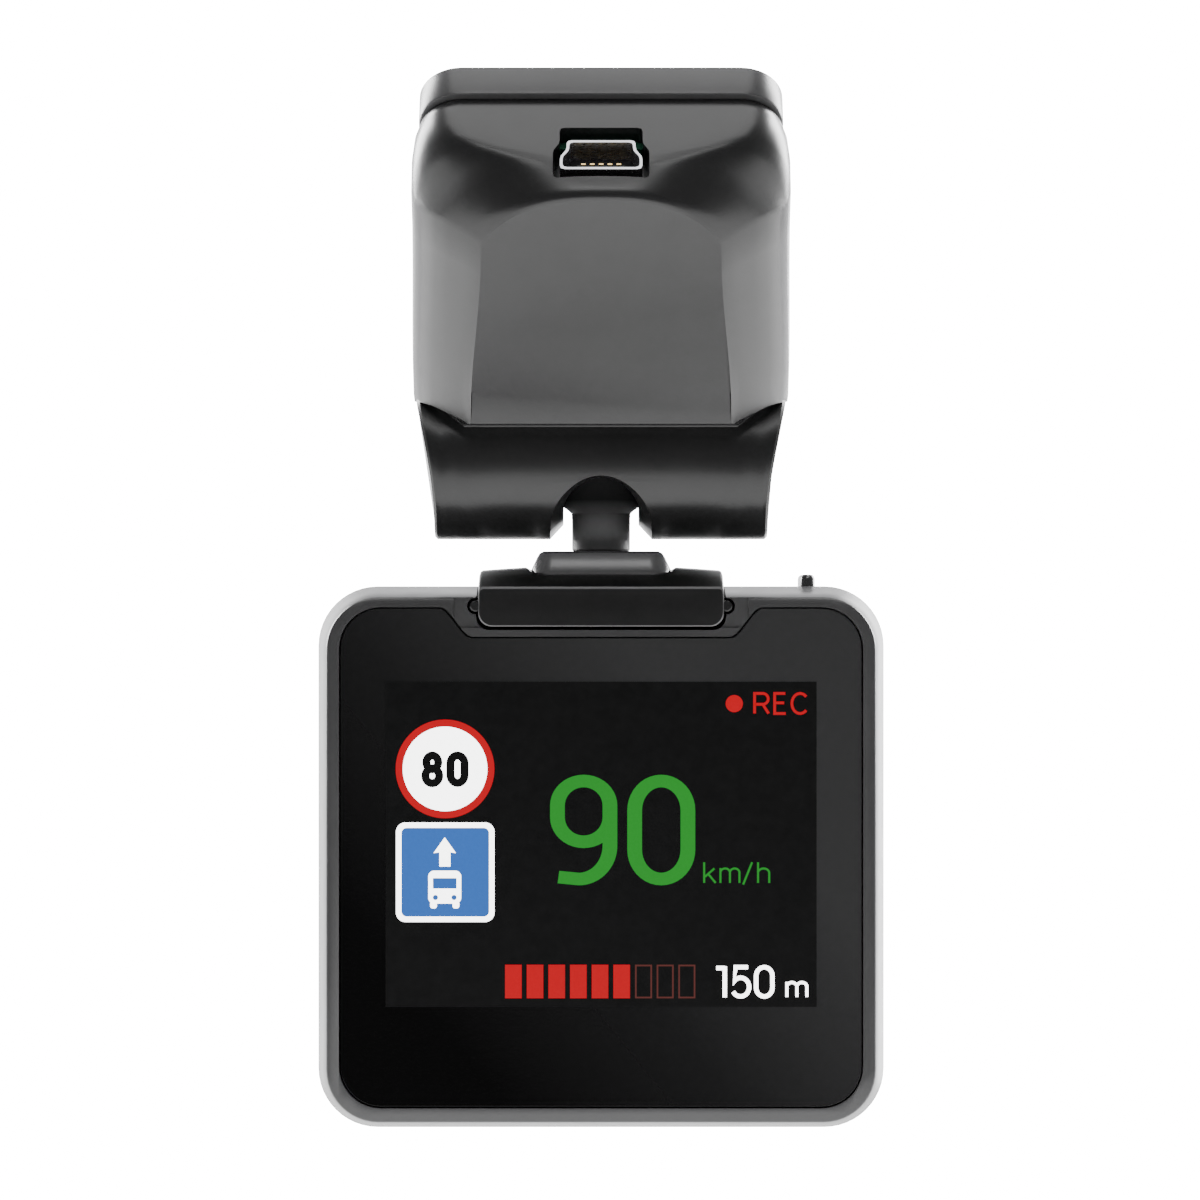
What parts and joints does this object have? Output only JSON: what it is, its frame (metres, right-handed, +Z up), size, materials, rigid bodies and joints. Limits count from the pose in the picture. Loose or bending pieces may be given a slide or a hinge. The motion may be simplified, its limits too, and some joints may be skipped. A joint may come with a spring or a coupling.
{
  "type": "radar detector",
  "caption": "Windscreen-mounted radar detector and dash camera: square screen unit in a sliding clip on a ball joint under an adhesive mount with its own power socket.",
  "frame": {"origin": "centre of the adhesive pad's outer face", "axes": "+Z up, +X towards the driver's right, +Y forwards along the car, away from the driver; the windscreen slopes 40 degrees above the horizontal"},
  "size_m": [0.0542, 0.0574, 0.0989],
  "materials": {
    "foam": "matte",
    "graphite": "satin",
    "charcoal": "satin",
    "gloss_black": "gloss",
    "nylon": "matte",
    "cover_glass": "gloss",
    "lens_glass": "gloss",
    "display": "gloss",
    "steel": "satin",
    "gold": "satin",
    "circuit_board": "satin",
    "chip": "matte",
    "ceramic": "matte",
    "ribbon": "satin",
    "wire": "satin",
    "cell_wrap": "satin",
    "fabric": "matte"
  },
  "bodies": {
    "mount": {"adhesive_pad": "foam", "mount_base": "graphite", "mount_housing": "graphite", "mount_circuit_board": "circuit_board", "gps_antenna": "ceramic", "gps_receiver_can": "steel", "usb_socket_shell": "steel", "usb_socket_tongue": "chip", "usb_socket_contacts": "gold", "ball_retainer": "chip", "retainer_screws": "steel", "mount_screws": "steel", "mount_lead": "wire"},
    "cup": {"friction_cup": "nylon"},
    "ball": {"ball_stem": "charcoal", "stem_lead": "wire", "stem_nut": "steel"},
    "holder": {"swivel_foot": "graphite", "holder_clip": "charcoal", "clip_screws": "steel", "contact_block": "chip"},
    "pins": {"contact_pins": "gold"},
    "camera": {"screen_bezel": "graphite", "cover_glass": "cover_glass", "display_panel": "display", "display_frame": "steel", "display_ribbon": "ribbon", "main_board": "circuit_board", "processor_shield": "steel", "board_chips": "chip", "lens_case": "graphite", "lens_barrel": "gloss_black", "lens_glass": "lens_glass", "lens_module": "chip", "sensor_board": "circuit_board", "image_sensor": "chip", "battery": "cell_wrap", "speaker": "steel", "speaker_mesh": "fabric", "microphone": "gold", "card_socket": "steel", "button_switches": "steel", "camera_contacts": "gold", "case_screws": "steel"},
    "card": {"memory_card": "chip"},
    "power_key": {"power_button": "charcoal"},
    "menu_key": {"menu_button": "charcoal"},
    "ok_key": {"ok_button": "charcoal"},
    "back_key": {"back_button": "charcoal"}
  },
  "joints": [
    {"name": "ball_pitch", "type": "hinge", "parent": "mount", "child": "cup", "pos_m": [0, 0.00532, -0.01948], "axis": [-1, 0, 0], "range_deg": [-25, 38]},
    {"name": "ball_roll", "type": "hinge", "parent": "cup", "child": "ball", "pos_m": [0, 0.00532, -0.01948], "axis": [0, 1, 0], "range_deg": [-4, 4]},
    {"name": "swivel", "type": "hinge", "parent": "ball", "child": "holder", "pos_m": [0, 0.00532, -0.01948], "axis": [0, 0, 1], "range_deg": [-45, 45]},
    {"name": "camera_slide", "type": "slide", "parent": "holder", "child": "camera", "axis": [0, 1, 0], "range_m": [0, 0.02]},
    {"name": "contact_travel", "type": "slide", "parent": "holder", "child": "pins", "axis": [0, 0, 1], "range_m": [0, 0.00025], "stiffness_N_per_m": 400},
    {"name": "card_slide", "type": "slide", "parent": "camera", "child": "card", "axis": [1, 0, 0], "range_m": [0, 0.013]},
    {"name": "power_press", "type": "slide", "parent": "camera", "child": "power_key", "axis": [0, 0, -1], "range_m": [0, 0.00035], "stiffness_N_per_m": 300},
    {"name": "menu_press", "type": "slide", "parent": "camera", "child": "menu_key", "axis": [1, 0, 0], "range_m": [0, 0.0003], "stiffness_N_per_m": 300},
    {"name": "ok_press", "type": "slide", "parent": "camera", "child": "ok_key", "axis": [1, 0, 0], "range_m": [0, 0.0003], "stiffness_N_per_m": 300},
    {"name": "back_press", "type": "slide", "parent": "camera", "child": "back_key", "axis": [1, 0, 0], "range_m": [0, 0.0003], "stiffness_N_per_m": 300}
  ]
}
